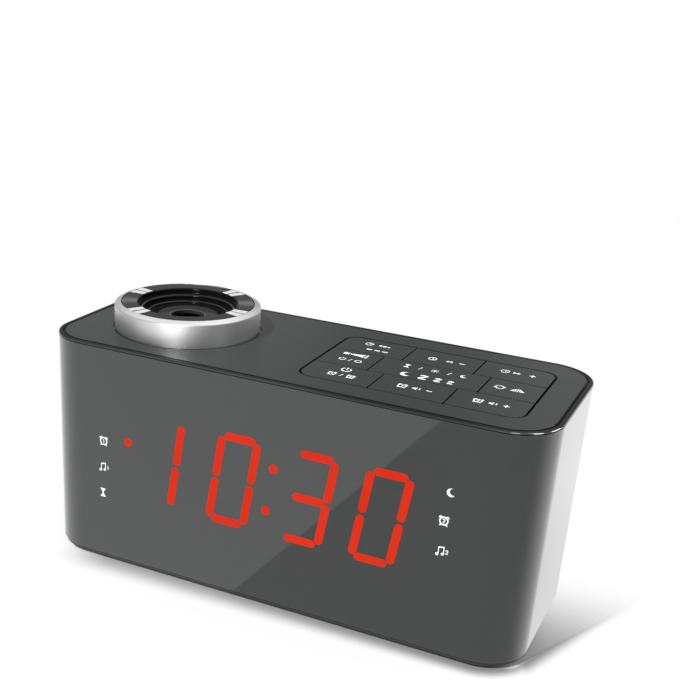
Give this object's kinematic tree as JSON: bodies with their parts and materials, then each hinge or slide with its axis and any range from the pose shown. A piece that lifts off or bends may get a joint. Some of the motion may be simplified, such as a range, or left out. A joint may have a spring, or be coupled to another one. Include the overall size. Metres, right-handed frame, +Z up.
{
  "type": "projection clock radio",
  "caption": "Low bedside clock radio with a gloss wrap-round front, large lit figures, flush top keys and a round time projector whose silver ring turns to focus.",
  "frame": {"origin": "middle of the footprint, on the surface the rubber feet stand on", "axes": "+X to the right along the width, front face towards -Y, +Z up"},
  "size_m": [0.175, 0.07, 0.0895],
  "materials": {
    "smoked_gloss": "high-gloss smoked plastic",
    "cabinet_gloss": "high-gloss dark plastic",
    "gloss_black": "gloss black plastic",
    "satin_black": "fine satin texture",
    "satin_silver": "satin silver lacquer",
    "bright_trim": "mirror bright",
    "foot_rubber": "matt",
    "screw_steel": "zinc plated",
    "sheet_steel": "pressed sheet",
    "contact_brass": "bright",
    "lens_glass": "polished",
    "slide_glass": "polished",
    "board_green": "solder mask",
    "part_black": "moulded",
    "can_blue": "sleeved",
    "mat_silicone": "matt",
    "lit_red": "lit",
    "dark_red": "unlit",
    "magnet_ferrite": "matt",
    "cone_paper": "pressed paper",
    "foam": "closed-cell foam",
    "ribbon_grey": "flat cable",
    "print_white": "screen print"
  },
  "bodies": {
    "body": {"front_cover": "smoked_gloss", "rear_cabinet": "cabinet_gloss", "base_plate": "part_black", "top_frame": "gloss_black", "top_plate": "satin_black", "rubber_feet": "foot_rubber", "case_screws": "screw_steel", "key_guide": "part_black", "key_mat": "mat_silicone", "key_board": "board_green", "key_screws": "screw_steel", "projector_housing": "part_black", "projector_screws": "screw_steel", "time_slide": "slide_glass", "condenser_lens": "lens_glass", "lamp_board": "board_green", "projector_lamp": "lit_red", "lamp_screws": "screw_steel", "display_block": "part_black", "lit_segments": "lit_red", "dark_segments": "dark_red", "display_board": "board_green", "display_screws": "screw_steel", "main_board": "board_green", "board_chips": "part_black", "board_capacitors": "can_blue", "main_screws": "screw_steel", "power_socket": "part_black", "aerial_gland": "foot_rubber", "tray_holder": "part_black", "cell_contact": "contact_brass", "speaker_basket": "sheet_steel", "speaker_magnet": "magnet_ferrite", "speaker_cone": "cone_paper", "speaker_gasket": "foam", "speaker_screws": "screw_steel", "display_ribbon": "ribbon_grey", "key_ribbon": "ribbon_grey"},
    "ring": {"focus_ring": "satin_silver", "ring_bezel": "gloss_black", "ring_stripes": "bright_trim"},
    "barrel": {"lens_barrel": "part_black", "projector_lens": "lens_glass"},
    "tray": {"cell_tray": "cabinet_gloss", "coin_cell": "sheet_steel"},
    "set_key": {"set_key": "satin_black"},
    "hour_key": {"hour_key": "satin_black"},
    "minute_key": {"minute_key": "satin_black"},
    "projection_key": {"projection_key": "satin_black"},
    "snooze_key": {"snooze_key": "satin_black"},
    "flip_key": {"flip_key": "satin_black"},
    "power_key": {"power_key": "satin_black"},
    "alarm_one_key": {"alarm_one_key": "satin_black"},
    "alarm_two_key": {"alarm_two_key": "satin_black"}
  },
  "joints": [
    {"name": "set_key_press", "type": "slide", "parent": "body", "child": "set_key", "axis": [0, 0, -1], "range_m": [0, 0.0007], "stiffness_N_per_m": 1500, "springref_m": -0.0004},
    {"name": "hour_key_press", "type": "slide", "parent": "body", "child": "hour_key", "axis": [0, 0, -1], "range_m": [0, 0.0007], "stiffness_N_per_m": 1500, "springref_m": -0.0004},
    {"name": "minute_key_press", "type": "slide", "parent": "body", "child": "minute_key", "axis": [0, 0, -1], "range_m": [0, 0.0007], "stiffness_N_per_m": 1500, "springref_m": -0.0004},
    {"name": "projection_key_press", "type": "slide", "parent": "body", "child": "projection_key", "axis": [0, 0, -1], "range_m": [0, 0.0007], "stiffness_N_per_m": 1500, "springref_m": -0.0004},
    {"name": "snooze_key_press", "type": "slide", "parent": "body", "child": "snooze_key", "axis": [0, 0, -1], "range_m": [0, 0.0007], "stiffness_N_per_m": 1500, "springref_m": -0.0004},
    {"name": "flip_key_press", "type": "slide", "parent": "body", "child": "flip_key", "axis": [0, 0, -1], "range_m": [0, 0.0007], "stiffness_N_per_m": 1500, "springref_m": -0.0004},
    {"name": "power_key_press", "type": "slide", "parent": "body", "child": "power_key", "axis": [0, 0, -1], "range_m": [0, 0.0007], "stiffness_N_per_m": 1500, "springref_m": -0.0004},
    {"name": "alarm_one_key_press", "type": "slide", "parent": "body", "child": "alarm_one_key", "axis": [0, 0, -1], "range_m": [0, 0.0007], "stiffness_N_per_m": 1500, "springref_m": -0.0004},
    {"name": "alarm_two_key_press", "type": "slide", "parent": "body", "child": "alarm_two_key", "axis": [0, 0, -1], "range_m": [0, 0.0007], "stiffness_N_per_m": 1500, "springref_m": -0.0004},
    {"name": "focus_turn", "type": "hinge", "parent": "body", "child": "ring", "pos_m": [-0.05, 0, 0.0805], "axis": [0, 0, 1], "range_deg": [-60, 60]},
    {"name": "lens_focus", "type": "slide", "parent": "body", "child": "barrel", "axis": [0, 0, 1], "range_m": [-0.001, 0.001]},
    {"name": "tray_slide", "type": "slide", "parent": "body", "child": "tray", "axis": [0, 1, 0], "range_m": [0, 0.02]}
  ],
  "couplings": [
    {"joint": "lens_focus", "follows": "focus_turn", "m_per_rad": 0.00095}
  ]
}
